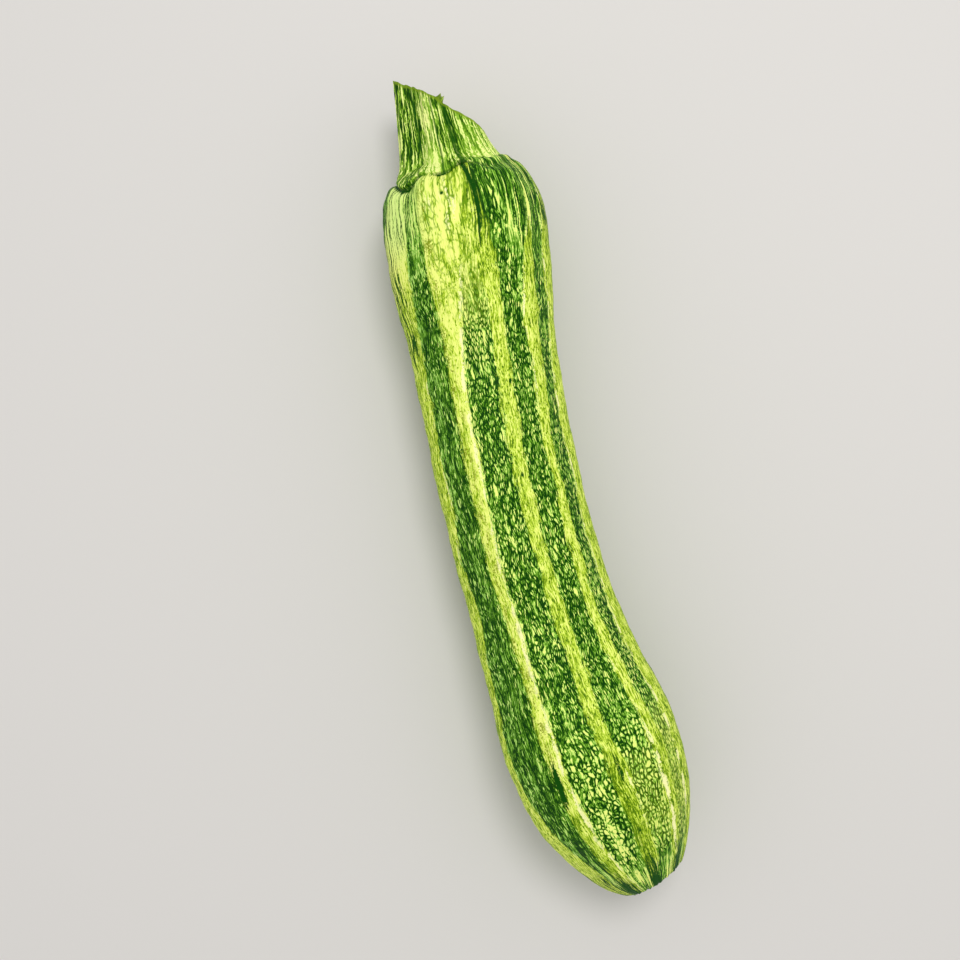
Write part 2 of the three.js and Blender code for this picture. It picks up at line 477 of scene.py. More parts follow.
def round_the_scar(points):
    """Share of the way from the scar's middle to its five-sided outline, the angle about it, and height."""
    angle, distance, inwards = about_axis(points, SCAR_CENTRE, *heading(SCAR_TURN))
    outline = SCAR_RADIUS * (0.88 + 0.08 * np.cos(np.radians(angle * 5)))
    return distance / outline, angle, -inwards


def press_scar(points):
    """Flattens the blossom end to the scar: a sunk five-sided face with a soft rim and a small boss."""
    share, angle, height = round_the_scar(points)
    face = 0.5 * hump(share, 0.16, 0.1) - 0.5 * hump(share, 0.55, 0.25) - SCAR_DEPTH
    face = face + 0.12 * sine(angle * 15) * hump(share, 0.65, 0.25)
    rim = 0.45 * hump(share, 1.05, 0.13) * (0.6 + 0.4 * np.cos(np.radians(angle * 5)))
    inside = smooth(share, 1.04, 0.86)
    target = np.minimum(height, 0) * (1 - inside) + face * inside + rim
    shift = np.where((share > 1.04) & (height < 0), rim, target - height)
    near = (share < 1.6) & (height > -6)
    inwards, _ = heading(SCAR_TURN)
    return points - inwards * np.where(near, shift, 0)[..., None]


def crease_strength(stem_angles):
    """How deep the crease round the stem's foot is, and how dark its painted shade is, from 0 to 1."""
    return np.interp(stem_angles, *zip(*CREASE), period=360)


def furrow_line(angles, ys):
    """1 along the bold furrow that runs from the stem's main groove down the shoulder."""
    stations, middles, widths = zip(*FURROW)
    line = hump(angles, np.interp(ys, stations, middles), np.interp(ys, stations, widths))
    return line * smooth(ys, 74, 90)


def press_shoulder(points, angles, ys):
    """A crease round the stem's foot, a low collar outside it, and fine furrows over both ends."""
    stem_angle, past_foot = past_the_foot(points)
    crease = (0.4 + 0.6 * crease_strength(stem_angle)) * hump(past_foot, 0.2, 1.3)
    collar = 0.35 * hump(past_foot, 3.2, 1.8)
    furrows = sum(hump(turn_between(stem_angle, groove), 0, 6) for groove in GROOVE_ANGLES)
    furrows = 0.7 * furrows * smooth(past_foot, -1, 1) * smooth(past_foot, 9, 3)
    dip = (crease - collar + furrows) * smooth(ys, 92, 102) + 0.8 * furrow_line(angles, ys)
    fine = sine(angles * 31 + 60 * sine(angles * 3)) + 0.7 * sine(angles * 53 + 90)
    dip = dip + 0.11 * fine * (smooth(ys, 84, 106) + smooth(ys, -128, -148))
    along, _ = heading(STEM_TURN)
    inner = np.where((ys > 40)[..., None], STEM_FOOT - 25 * along, (0, -115, 28))
    outwards = points - inner
    outwards /= np.linalg.norm(outwards, axis=-1, keepdims=True)
    points = points - outwards * dip[..., None]
    # On its +X side the shoulder reaches a little further along the stem
    points[..., 1] += 2.6 * hump(angles, 66, 24) * hump(ys, 112.5, 3)
    return points


def band_edge(number, side, ys):
    """The left (0) or right (1) edge of an upper band in degrees, at each y."""
    return np.interp(ys, STATIONS, UPPER_BANDS[number][side]) + wander(ys, 2 * number + side, 0.6)


def band_reach(angles, ys, radius):
    """How far each point lies inside a dark band (below 0: outside), and that band's darkness."""
    bands = []
    for number, (_, _, levels) in enumerate(UPPER_BANDS):
        inside = np.minimum(angles - band_edge(number, 0, ys), band_edge(number, 1, ys) - angles)
        bands.append((inside, np.interp(ys, STATIONS, levels)))
    for number, (middle, half, wider) in enumerate(LOWER_BANDS):
        width = half + wander(ys, number + 11, 2.0) + wider * smooth(ys, 80, 104)
        inside = width - np.abs(turn_between(angles, middle + wander(ys, number + 21, 2.0)))
        bands.append((inside, LOWER_DARKNESS - 0.35 * smooth(ys, 66, 90)))
    best = np.full(angles.shape, -99.0)
    darkness = np.zeros(angles.shape)
    for inside, strength in bands:
        darkness = np.where(inside > best, strength, darkness)
        best = np.maximum(best, inside)
    return np.radians(best) * radius, darkness


def straight_places(angles, ys):
    """The fruit's skin unbent, and shorter towards the ends, so that cells are drawn out there to streaks."""
    fine = np.linspace(BLOSSOM_POLE, STEM_POLE, 400)
    shorter = 1 - 0.45 * smooth(fine, 74, 100) - 0.2 * smooth(fine, -118, -142)
    length = np.concatenate([[0], np.cumsum(shorter[1:] * np.diff(fine))])
    return unbent(angles, np.interp(ys, fine, length), FRUIT_PATTERN_RADIUS)


def cream_lines(angles, ys):
    """How much cream lies along the bands, beside the furrow and in a few spots, from 0 to 1."""
    cream = 0.8 * hump(angles, np.interp(ys, *zip(*FURROW_CREAM)), 1.0) * smooth(ys, 74, 88)
    cream = cream + spots(angles, ys, CREAM_SPOTS)
    for number, side, offset, strength, first, last in CREAM_LINES:
        broken = np.clip(0.85 + wander(ys, 5 * number + side, 0.7), 0, 1)
        broken = broken * smooth(ys, first - 6, first + 6) * smooth(ys, last + 6, last - 6)
        cream = cream + strength * broken * hump(angles, band_edge(number, side, ys) + offset, 1.9)
    return np.clip(cream, 0, 1)


def streakiness(angles, ys):
    """How much of the skin long dark lines take up, from 0 to 1."""
    lined = np.interp(angles, *zip(*LINED)) * smooth(ys, 66, 92) + smooth(ys, -126, -146)
    lined = lined + 0.6 * hump(angles, -76, 15) + 0.3 * hump(angles, -42, 14) * smooth(ys, 80, 50)
    lined = lined + 0.85 * hump(angles, -61, 9) * smooth(ys, 30, 56) * smooth(ys, 92, 66)
    lined = lined + 0.8 * hump(angles, 10, 5) * smooth(ys, -96, -112)
    return np.clip(lined, 0, 1)


def fruit_attributes(points, angles, ys, settings):
    """The values that the fruit's skin material reads: where the bands lie and how dark they are, how pale
    the ribs are, and where each kind of mark and of pattern is."""
    reach, darkness = band_reach(angles, ys, body_radius(ys, settings) * both_ends(ys))
    stem_angle, past_foot = past_the_foot(points)
    share, _, height = round_the_scar(points)

    # The crease round the stem's foot is darkened with painted shade; the rest are the skin's own dark marks
    ink = hump(past_foot, 0.1, 1.1) * smooth(ys, 92, 102) * crease_strength(stem_angle)
    ink = ink + furrow_line(angles, ys) + spots(angles, ys, DARK_SPOTS)
    ink = ink + 1.6 * hump(angles, -27.2 + (ys + 98) * 0.12, 2.0) * hump(ys, -98.5, 7)
    for angle, width in ((11, 7), (-27, 8), (47, 8)):
        ink = ink + hump(angles, angle, width) * smooth(ys, -128, -148)
    olive = 0.6 * hump(angles, 7.5, 2.2) * smooth(ys, -88, -104)
    olive = olive + hump(angles, -26.5, 3.4) * smooth(ys, -110, -80)

    shoulder = smooth(ys, 62, 90)
    blossom = smooth(ys, -80, -112)
    marks, *levels = zip(*PALENESS)
    pale = spots(angles, ys, PALE_SPOTS)
    for level, part in zip(levels, (1 - shoulder - blossom, shoulder, blossom)):
        pale = pale + np.interp(angles, marks, level) * part
    patch = smooth(ys, 40, 88) * smooth(angles, -31, -26) * smooth(angles, 9, 4)
    coarse = smooth(ys, -66, -100) * (0.3 + 0.7 * smooth(angles, -34, -26))
    return {
        "straight": straight_places(angles, ys),
        "reach": reach,
        "darkness": darkness,
        "pale": pale,
        "net": patch + 0.45 * hump(angles, -25, 4) * smooth(ys, 88, 40),
        "cream": cream_lines(angles, ys),
        "ink": np.clip(ink, 0, 1),
        "olive": olive,
        "belly": 0.45 * hump(turn_between(angles, 180), 0, 30) * smooth(ys, -140, -110),
        "scar": 0.85 * smooth(share, 1.05, 0.9) * (height > -4),
        "coarse": coarse + 0.9 * hump(angles, 23, 13) * smooth(ys, 76, 90),
        # A greener tint that is partly painted sheen: the ribs on the -X shoulder turn whitish green
        "mint": 0.42 * hump(angles, -54, 24) * smooth(ys, 76, 94),
        "streaky": streakiness(angles, ys),
    }


# ---- Materials ----

NOISE_MIDDLE = (0.5, 0.5, 0.5)
CELLS = {"voronoi_dimensions": "2D"}
VEINS = {"voronoi_dimensions": "2D", "feature": "DISTANCE_TO_EDGE"}
# Where each sum of noises starts, so that it runs over its colours' 0 to 1
BAND_START = -1.245
RIB_START = -3.11
STEM_START = -1.31


def add_node(tree, kind, inputs=(), stops=(), **settings):
    """Adds a node with its settings. Its inputs are a dict, or a tuple that starts at the first one.

    Each input is a value, an sRGB hex colour, a socket, or a node, whose first output is linked. A MapRange
    takes a value, the two ends of its range, and what they become if not 0 and 1. A Mix takes the share of
    its second as 0, and two values as 2 and 3 or two colours as 6 and 7.
    """
    node = tree.nodes.new("ShaderNode" + kind)
    for key, value in settings.items():
        setattr(node, key, value)
    for key, value in inputs.items() if isinstance(inputs, dict) else enumerate(inputs):
        if isinstance(value, bpy.types.Node):
            value = next(socket for socket in value.outputs if socket.enabled)
        if isinstance(value, bpy.types.NodeSocket):
            tree.links.new(value, node.inputs[key])
        else:
            node.inputs[key].default_value = linear(value) if isinstance(value, str) else value
    for _ in stops[2:]:
        node.color_ramp.elements.new(1.0)
    for number, (place, colour) in enumerate(stops):
        element = node.color_ramp.elements[number]
        element.position = place
        element.color = linear(colour) if isinstance(colour, str) else colour
    return node


def blank_material(name):
    """An empty node material, and add_node for its tree."""
    material = bpy.data.materials.new(name)
    material.use_nodes = True
    material.node_tree.nodes.clear()
    return material, partial(add_node, material.node_tree)


def read_skin(add, keys):
    """The values that a skin's material reads, by key, and its places unbent and unrolled, in mm."""
    read = {key: add("Attribute", attribute_name=key).outputs["Fac"] for key in keys}
    return read, *(add("Attribute", attribute_name=key).outputs["Vector"] for key in ("straight", "flat"))


def pushed(add, noise, size, place):
    """Places pushed about by a noise, each way by up to half of a size in mm."""
    shift = add("VectorMath", (noise.outputs["Color"], NOISE_MIDDLE), operation="SUBTRACT")
    return add("VectorMath", (shift, size, place), operation="MULTIPLY_ADD")


def finish_skin(add, colour, roughness, height, strength, depth):
    """The shader of a satin plant skin with a relief in metres, linked to the material's output.

    Such skin is mostly water under a little wax, so its IOR lies between the two.
    """
    bump = add("Bump", {"Height": height, "Strength": strength, "Distance": depth})
    shader = add("BsdfPrincipled", {
        "Base Color": colour, "Roughness": roughness, "IOR": 1.42, "Specular IOR Level": 0.08, "Normal": bump,
    })
    add("OutputMaterial", {"Surface": shader})


def skin_noises(add, place, flat):
    """The noises in every pattern of the fruit's skin, and its unrolled places made uneven by them.

    Everything grows lengthwise, so the noises are drawn out along Y. The places in "moved" waver, and those
    in "curled" are ragged as well.
    """
    waver = add("TexNoise", {"Vector": place, "Scale": 0.1, "Detail": 1.0})
    moved = pushed(add, waver, (3.0, 4.0, 3.0), flat)
    solid = pushed(add, waver, (3.0, 3.0, 3.0), place)
    drawn_out = add("VectorMath", (solid, (1.0, 0.1, 1.0)), operation="MULTIPLY")
    longish = add("VectorMath", (solid, (1.0, 0.3, 1.0)), operation="MULTIPLY")
    # Scales are per mm: fibres are 0.4 mm across, ribbons and bites 1.7 mm, clouds 5 mm and grains 0.6 mm.
    # Real fibres are finer than shows here, so these are drawn as coarse as they need to be
    noises = {
        key: add("TexNoise", {"Vector": spot, "Scale": scale, "Detail": detail, "Roughness": roughness})
        for key, spot, scale, detail, roughness in (
            ("fibre", drawn_out, 2.3, 3.0, 0.75),
            ("ribbon", drawn_out, 0.6, 1.0, 0.5),
            ("cloud", longish, 0.2, 2.0, 0.5),
            ("grain", solid, 1.7, 3.0, 0.65),
            ("bite", longish, 0.6, 3.0, 0.5),
        )
    }
    curled = pushed(add, noises["bite"], (1.4, 2.2, 0.0), moved)
    curled = pushed(add, noises["grain"], (0.45, 0.9, 0.0), curled)
    return {**noises, "moved": moved, "curled": curled}


def band_cells(add, read):
    """Cells of the dark bands with dark veins between them, each with its own paleness, and rarer flecks.

    The cells are 0.7 mm wide and drawn out along the fruit. Where the skin is coarse, near the blossom end
    and on one band's shoulder, they are 1.25 mm wide and rounder. Flecks are 1.8 mm wide.
    """
    lift = add("Math", (read["darkness"], -0.75, 0.8), operation="MULTIPLY_ADD")
    gathered = add("Math", (read["coarse"], -2.1, 3.8), operation="MULTIPLY_ADD")
    # On the fruit's -X side the bright cells are fewer and brighter, partly painted sheen
    seldom = add("Math", (read["cool"], 2.2, 1.8), operation="MULTIPLY_ADD")
    spread = add("Math", (read["cool"], 0.8, 0.82), operation="MULTIPLY_ADD")
    tones = []
    # Each kind: its width in mm, its width as a share of its length, its least brightness and what the best
    # cell has over that, how seldom cells are bright, and its level at the rim
    for wide, stretch, least, most, power, rim in (
        (0.68, 0.27, 0.36, spread, seldom, 0.4),
        (1.25, 0.62, 0.36, 0.9, 1.9, 0.5),
        (1.8, 0.34, 0.0, 1.3, gathered, 0.0),
    ):
        spot = add("VectorMath", (read["curled"], (1 / wide, stretch / wide, 0.0)), operation="MULTIPLY")
        cell = add("TexVoronoi", {"Vector": spot, "Scale": 1.0}, **CELLS)
        vein = add("TexVoronoi", {"Vector": spot, "Scale": 1.0}, **VEINS)
        inside = add("MapRange", (vein, 0.08, 0.3))
        bright = add("SeparateColor", (cell.outputs["Color"],))
        bright = add("Math", (bright, power), operation="POWER")
        bright = add("Math", (bright, most, least), operation="MULTIPLY_ADD")
        edge = 0.6 + 0.4 * rim
        dome = add("MapRange", (cell, edge, edge - 0.3, rim))
        bright = add("Math", (bright, dome, lift if least else 0.0), operation="MULTIPLY_ADD")
        tones.append(add("Math", (bright, inside), operation="MULTIPLY"))
    small, large, fleck = tones
    return add("Mix", {0: read["coarse"], 2: small, 3: large}), fleck


def long_lines(add, read):
    """Where the skin is streaky: the ground between long dark lines, 1.3 mm apart, and pale dashes on it."""
    spot = add("VectorMath", (read["moved"], (0.78, 0.05, 0.0)), operation="MULTIPLY")
    strip = add("TexVoronoi", {"Vector": spot, "Scale": 1.0}, **CELLS)
    line = add("TexVoronoi", {"Vector": spot, "Scale": 1.0}, **VEINS)
    for part, factor in (("grain", 0.4), ("streaky", -0.5)):
        line = add("Math", (read[part], factor, line), operation="MULTIPLY_ADD")
    between = add("MapRange", (line, -0.22, -0.1))
    dashes = add("SeparateColor", (strip.outputs["Color"],))
    dashes = add("Math", (dashes, 1.4, 0.08), operation="MULTIPLY_ADD")
    for part in (between, read["streaky"]):
        dashes = add("Math", (dashes, part), operation="MULTIPLY")
    return between, dashes


def cream_blobs(add, read):
    """Cream streaks and blobs that lie over bands and ribs alike, in broken stretches."""
    blobs = read["bite"]
    for part, factor in (("grain", 0.7), ("cream", 0.25)):
        blobs = add("Math", (read[part], factor, blobs), operation="MULTIPLY_ADD")
    blobs = add("MapRange", (blobs, 0.97, 1.08))
    creamy = add("MapRange", (read["cream"], 0.2, 0.45))
    return add("Math", (blobs, creamy), operation="MULTIPLY")


def dark_bands(add, read, settings):
    """Colour of the dark bands, from their veins to their palest flecks, with painted sheen on the -X side,
    and the cells' own paleness.
    """
    cells, fleck = band_cells(add, read)
    rest = add("Math", (read["streaky"], -0.6, 1.0), operation="MULTIPLY_ADD")
    seldom = add("Math", (read["streaky"], -0.9, 1.0), operation="MULTIPLY_ADD")
    cells = add("Math", (cells, rest), operation="MULTIPLY")
    fleck = add("Math", (fleck, seldom), operation="MULTIPLY")
    for part in (read["dashes"], fleck):
        cells = add("Math", (cells, part), operation="MAXIMUM")
    tone = BAND_START
    for part, factor in (
        (read["cloud"], 0.6), (read["ribbon"], 0.9), (read["bite"], 0.6), (read["grain"], 0.5),
        (read["threads"], 1.0), (cells, 1.0), (read["blobs"], 0.5),
    ):
        tone = add("Math", (part, factor, tone), operation="MULTIPLY_ADD")
    colour = add("ValToRGB", (tone,), stops=(
        (0.0, settings.dark_skin), (0.2, "#265c02"), (0.4, settings.green_skin), (0.6, "#7cb230"),
        (0.78, "#aee25a"), (0.9, settings.fleck), (1.0, settings.cream),
    ))
    # Painted sheen: on the -X side the brighter cells are whitened towards a pale green
    painted_sheen = add("MapRange", (tone, 0.55, 0.85, 0.0, 0.5))
    painted_sheen = add("Math", (painted_sheen, read["cool"]), operation="MULTIPLY")
    return add("Mix", {0: painted_sheen, 6: colour, 7: "#a0e078"}, data_type="RGBA"), cells


def pale_ribs(add, read, settings):
    """Colour of the pale ribs: fibres, grain, green dots 0.7 mm apart, and blotches on the pale patch."""
    blotches = add("Math", (read["blotch"], read["net"]), operation="MULTIPLY")
    spot = add("VectorMath", (read["curled"], (1.4, 0.6, 0.0)), operation="MULTIPLY")
    dot = add("TexVoronoi", {"Vector": spot, "Scale": 1.0}, **CELLS)
    rare = add("SeparateColor", (dot.outputs["Color"],))
    rare = add("MapRange", (rare, 0.3, 1.0))
    dot = add("MapRange", (dot, 0.34, 0.12), interpolation_type="SMOOTHSTEP")
    dot = add("Math", (dot, rare), operation="MULTIPLY")
    tone = RIB_START
    for part, factor in (
        (read["fibre"], 4.6), (read["grain"], 0.7), (read["pale"], 0.75), (read["bite"], 1.0),
        (blotches, 3.0), (dot, -1.0),
    ):
        tone = add("Math", (part, factor, tone), operation="MULTIPLY_ADD")
    colour = add("ValToRGB", (tone,), stops=(
        (0.0, "#527a06"), (0.25, "#93b41a"), (0.5, settings.stripe), (0.75, "#dbf25e"),
        (1.0, settings.cream),
    ))
    streak = add("Math", (1.0, read["between"]), operation="SUBTRACT")
    # Over the ribs: cream blobs, a whitish green on the -X shoulder that is partly painted sheen, and the
    # long dark lines
    for mask, over in ((read["blobs"], "#fefbb4"), (read["mint"], "#c2f69a"), (streak, "#1f5206")):
        colour = add("Mix", {0: mask, 6: colour, 7: over}, data_type="RGBA")
    return colour


def local_marks(add, read, colour):
    """The skin's colour with its marks: veins on the pale patch, olive and dark marks, painted shade in
    the crease round the stem's foot, belly and scar.
    """
    # The veins are 1.4 mm apart
    spot = add("VectorMath", (read["curled"], (0.7, 0.42, 0.0)), operation="MULTIPLY")
    net = add("TexVoronoi", {"Vector": spot, "Scale": 1.0}, **VEINS)
    net = add("MapRange", (net, 0.17, 0.05))
    hollow = add("MapRange", (read["blotch"], 0.15, -0.05, 0.0, 0.85))
    for part in (read["net"], hollow):
        net = add("Math", (net, part), operation="MULTIPLY")
    # The olive and the dark marks have ragged edges
    olive = add("Math", (read["grain"], read["bite"]), operation="ADD")
    olive = add("MapRange", (olive, 1.08, 1.13))
    olive = add("Math", (olive, read["olive"]), operation="MULTIPLY")
    ink = read["ink"]
    for part, factor in (("threads", -0.45), ("grain", 1.0)):
        ink = add("Math", (read[part], factor, ink), operation="MULTIPLY_ADD")
    ink = add("MapRange", (ink, 0.8, 1.15))
    # The dark marks carry painted shade in the crease round the stem's foot
    for mask, over in (
        (net, "#6c980c"), (olive, "#80900c"), (ink, "#0f4a02"), (read["belly"], "#d8dc8a"),
        (read["scar"], "#8f8a52"),
    ):
        colour = add("Mix", {0: mask, 6: colour, 7: over}, data_type="RGBA")
    return colour


def waxy_striped_skin(settings):
    """Zucchini skin: thin, waxy and smooth. It gives the eye a soft satin sheen over a network of dark
    green veins, with pale cells between them, and yellow-green ribs with fine lengthwise fibres."""
    material, add = blank_material("zucchini_skin_waxy")
    read, place, flat = read_skin(add, (
        "reach", "darkness", "pale", "cream", "net", "ink", "olive", "belly", "scar", "coarse", "streaky",
        "mint",
    ))
    read.update(skin_noises(add, place, flat))
    # The fruit's -X side has a colder, whiter tint that is partly painted sheen: its bright cells turn pale
    # green
    read["cool"] = add("MapRange", (add("SeparateXYZ", (place,)), -12.0, -20.0))
    read["threads"] = add("MapRange", (read["fibre"], 0.44, 0.62, -0.38, 0.34))
    read["between"], read["dashes"] = long_lines(add, read)
    read["blobs"] = cream_blobs(add, read)
    # Blotches on the pale patch below the stem, about 2.8 mm across
    spot = add("VectorMath", (read["curled"], (0.36, 0.1, 0.0)), operation="MULTIPLY")
    blotch = add("TexNoise", {"Vector": spot, "Scale": 1.0}, noise_dimensions="2D")
    read["blotch"] = add("Math", (blotch, 0.5), operation="SUBTRACT")

    # A band's edge is ragged: it wanders by about 1 mm, in inlets drawn out along the fruit
    rag = read["reach"]
    for part, factor in (("bite", 3.2), ("grain", 2.4), ("ribbon", 2.6)):
        rag = add("Math", (read[part], factor, rag), operation="MULTIPLY_ADD")
    in_band = add("MapRange", (rag, 3.25, 3.85))
    shown = add("MapRange", (read["darkness"], 0.0, 0.5))
    in_band = add("Math", (in_band, shown), operation="MULTIPLY")
    band_colour, cells = dark_bands(add, read, settings)
    rib_colour = pale_ribs(add, read, settings)
    colour = add("Mix", {0: in_band, 6: rib_colour, 7: band_colour}, data_type="RGBA")
    colour = local_marks(add, read, colour)

    relief = add("Math", (cells, in_band, read["fibre"]), operation="MULTIPLY_ADD")
    gloss = add("MapRange", (read["grain"], 0.2, 0.8, 0.42, 0.55))
    finish_skin(add, colour, gloss, relief, 0.4, 0.12 * MM)
    return material


def build_fruit(settings):
    """The whole fruit as one closed skin."""
    angle = np.arange(FRUIT_AROUND) * 360 / FRUIT_AROUND - 180
    angles, ys = np.meshgrid(angle, fruit_stations(settings))
    radius = fruit_radius(angles, ys, settings)
    middle, side = axis_points(ys, settings)
    turn = np.radians(angles)
    points = middle + side * (radius * np.sin(turn))[..., None]
    points[..., 2] += radius * np.cos(turn)
    values = fruit_attributes(points, angles, ys, settings)
    points = press_shoulder(press_scar(points), angles, ys)
    points[..., 2] = np.maximum(points[..., 2], 0)
    inner = {key: array[1:-1] for key, array in values.items()}
    first, last = points[0].mean(0), points[-1].mean(0)
    piece = closed_skin("zucchini_fruit", first, points[1:-1], last, inner, FRUIT_PATTERN_RADIUS)
    finish_piece(piece, "fruit", waxy_striped_skin(settings))


# ---- The stem ----


def foot_outline(angles):
    """Distance of the foot's edge from the stem's axis, at angles about it."""
    marks, distances = zip(*FOOT_EDGE)
    nearby = [np.interp(angles + step, marks, distances, period=360) for step in (-3, -1, 1, 3)]
    return sum(nearby) / len(nearby)


def ridge_wave(angles):
    """+1 on a ridge, -1 in a groove, with a smooth slope from each to the next."""
    marks = sorted([(at % 360, 1.0) for at in RIDGE_ANGLES] + [(at % 360, -1.0) for at in GROOVE_ANGLES])
    marks = [(marks[-1][0] - 360, marks[-1][1]), *marks, (marks[0][0] + 360, marks[0][1])]
    places, levels = (np.array(column) for column in zip(*marks))
    turned = angles % 360
    left = np.clip(np.searchsorted(places, turned, side="right") - 1, 0, len(places) - 2)
    share = (turned - places[left]) / (places[left + 1] - places[left])
    return levels[left] + (levels[left + 1] - levels[left]) * (1 - np.cos(math.pi * share)) / 2


def stem_point(angles, distance, height):
    """Points at angles about the stem's axis, distances from it and heights over its foot."""
    along, across = heading(STEM_TURN)
    turn = np.radians(angles)
    points = STEM_FOOT + along * height[..., None] + across * (distance * np.sin(turn))[..., None]
    points[..., 2] += distance * np.cos(turn)
    return points


def stem_side(angles, height, edge_height, settings, fruit_settings):
    """Points of the stem's side: ridged above, spreading to the foot's edge below."""
    lift = height - edge_height
    wave = ridge_wave(angles)
    ridged = 1 + settings.ridge_share * wave
    own = (settings.foot_radius / MM - settings.taper * height) * ridged
    at_edge = (settings.foot_radius / MM - settings.taper * edge_height) * ridged
    fade = FOOT_FADE * (0.85 + 0.25 * wave + 0.9 * hump(angles, 70, 26))
    radius = own + (foot_outline(angles) - at_edge) * np.exp(-np.maximum(lift, 0) / fade)
    radius = radius + 0.6 * hump(lift, 2.2, 1.7) - 0.5 * hump(lift, 0, 0.8)
    slip = angles + 1.5 * np.sin(height / 5) + 0.8 * np.sin(height / 2.3)
    strands = sine(slip * 33 + 80 * sine(angles * 4)) + 0.7 * sine(slip * 57 + 40)
    split = hump(turn_between(angles, -4.5), 0, 1.8) + hump(turn_between(angles, 16), 0, 3.0)
    radius = radius + 0.12 * strands * smooth(lift, 0, 5) - 0.5 * split * smooth(lift, 0, 3)
    # Near its edge the foot lies over the fruit's shoulder as a thin skirt
    points = stem_point(angles, radius, height)
    skirt = 0.1 + 0.7 * smooth(lift, 0, 1.5) - over_the_skin(points, fruit_settings)
    on_top = smooth(angles, -84, -66) * smooth(angles, 26, 12)
    radius = radius + np.maximum(skirt, 0) * smooth(lift, -0.2, 0.8) * on_top
    return stem_point(angles, radius, height)


def halve(test, low, high):
    """The height, from low to high, where a test turns from false to true, at each angle."""
    for _ in range(36):
        middle = (low + high) / 2
        past = test(middle)
        high = np.where(past, middle, high)
        low = np.where(past, low, middle)
    return low


def stem_attributes(angles, lift, below_top, cut):
    """The values that the stem's material reads, at a lift over the foot's edge and a height from the top."""
    # Painted light and shade: lighter on the faces at about 50° and -14° and on a thin line at 9.5°, darker
    # past -40° on the -X side. It is also lighter up to 14 mm over the foot's edge
    sunny = hump(angles, 50, 24) + 1.3 * hump(angles, -14, 10) + 0.9 * hump(angles, 9.5, 1.3)
    sunny = sunny + 0.9 * smooth(lift, 14, 4) - 0.35 * smooth(angles, -34, -46)
    bold = hump(angles, 15.5, 4.0) + 0.85 * hump(angles, -4.5, 1.7)
    bold = bold + 0.85 * hump(angles, -28 - 7 * smooth(lift, 0, 9), 1.4)
    values = {
        "groove": smooth(-ridge_wave(angles), 0.7, 1.0) * smooth(lift, 2, 9),
        "bold": bold,
        "streak": hump(angles, -15, 4) * smooth(lift, 8, 18),
        "sunny": sunny,
        "netted": np.maximum(smooth(lift, 12, 3), 0.7 * hump(angles, 52, 26)),
        # Painted shade: dark where the foot's edge meets the crease
        "foot": 0.85 * smooth(lift, 0.6, 0) * crease_strength(angles),
        "rim": 0.85 * smooth(below_top, -1.5, -0.7),
    }
    values = {key: value * (cut == 0) for key, value in values.items()}
    values["cut"] = cut
    values["straight"] = unbent(angles, lift * 0.6 + cut * STEM_PATTERN_RADIUS, STEM_PATTERN_RADIUS)
    return values


def build_stem(settings, fruit_settings):
    """The stem: a foot sunk into the shoulder, ridged sides and the cut face."""
    angles = np.arange(STEM_AROUND) * 360 / STEM_AROUND - 180
    outline = foot_outline(angles)
    edge = halve(
        lambda height: over_the_skin(stem_point(angles, outline, height), fruit_settings) > 0,
        np.full_like(angles, -30),
        np.full_like(angles, 10),
    )
    edge = edge - 0.5
    normal, _ = heading(CUT_TURN)
    top = halve(
        lambda height: (stem_side(angles, height, edge, settings, fruit_settings) - CUT_POINT) @ normal > 0,
        edge,
        np.full_like(angles, 60),
    )
    top = top + 0.25 * sine(angles * 9 + 30) + 0.15 * sine(angles * 23)

    # Each row: its points, its height, and how far in from the cut's rim it lies, from 0 to 1
    rows = []
    for depth, share in ((4.0, 0.55), (2.6, 0.8), (1.4, 0.92), (0.6, 0.98)):
        rows.append((stem_point(angles, outline * share, edge - depth), edge - depth, 0.0))
    for step in np.linspace(0, 1, STEM_ALONG) ** 1.3:
        height = edge + (top - edge) * step
        rows.append((stem_side(angles, height, edge, settings, fruit_settings), height, 0.0))
    rim, _, _ = rows[-1]
    centre = rim.mean(0)
    # The torn nub on the cut's rim, and strands of sap in a ring on its dished face
    nub = np.minimum(1.7 * hump(turn_between(angles, 10.5), 0, 3.6), 1) * (1 + 0.2 * sine(angles * 60))
    for inner in 1 - (np.arange(CUT_RINGS) + 0.5) / CUT_RINGS:
        dish = 0.35 * hump(inner, 0.86, 0.05) - 0.9 * (1 - inner**2)
        strands = 0.25 * hump(inner, 0.66, 0.07) * np.cos(np.radians(angles * 10))
        lift = dish + strands + 2.2 * nub * hump(inner, 0.95, 0.05)
        rows.append((centre + (rim - centre) * inner + normal * lift[..., None], top, 1 - inner))
    rings, heights, cut = (np.array(column) for column in zip(*rows))
    turned = np.broadcast_to(angles, heights.shape)
    cut = np.broadcast_to(cut[:, None], heights.shape)
    values = stem_attributes(turned, heights - edge, heights - top, cut)
    along, _ = heading(STEM_TURN)
    first, last = STEM_FOOT - along * 8, rings[-1].mean(0)
    piece = closed_skin("zucchini_stem", first, rings, last, values, STEM_PATTERN_RADIUS)
    finish_piece(piece, "stem", fibrous_stem_skin(settings))


